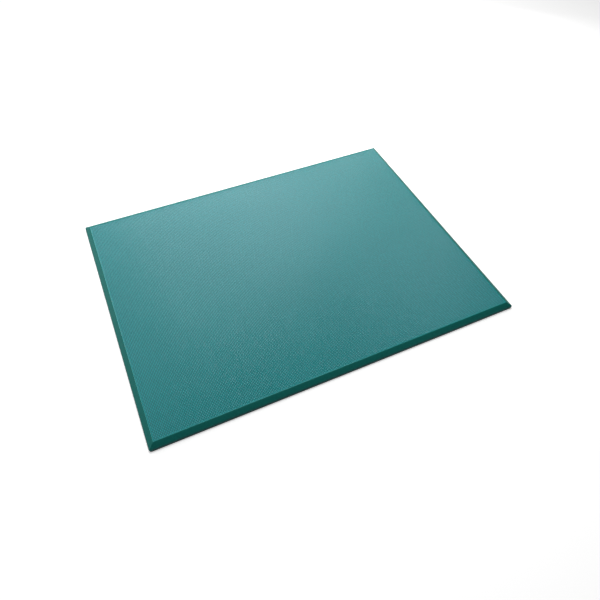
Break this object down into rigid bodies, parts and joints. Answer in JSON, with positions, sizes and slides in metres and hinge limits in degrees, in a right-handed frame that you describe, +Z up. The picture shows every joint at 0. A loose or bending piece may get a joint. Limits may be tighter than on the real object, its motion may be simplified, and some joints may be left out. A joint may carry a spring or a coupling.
{
  "type": "cushioned standing mat",
  "caption": "Thin rectangular cushioned floor mat with a finely gridded top, smooth bevelled edges all round and a flat non-slip underside.",
  "frame": {"origin": "centre of the underside, on the floor", "axes": "+X along the length towards the right edge, +Y across the width towards the rear edge, +Z up out of the top"},
  "size_m": [1.2, 0.9, 0.018],
  "materials": {
    "embossed_vinyl": "semi-matte teal green vinyl with a fine square emboss",
    "edge_vinyl": "smooth satin teal green vinyl",
    "foam": "matte fine-celled closed-cell foam",
    "backing_rubber": "matte moulded non-slip rubber",
    "hot_melt_film": "milky hot-melt film"
  },
  "bodies": {
    "root": {"wear_sheet": "embossed_vinyl", "top_bond_film": "hot_melt_film", "cushion_core": "foam", "base_bond_film": "hot_melt_film", "backing_sheet": "backing_rubber", "edge_front": "edge_vinyl", "edge_rear": "edge_vinyl", "edge_left": "edge_vinyl", "edge_right": "edge_vinyl"}
  },
  "joints": []
}
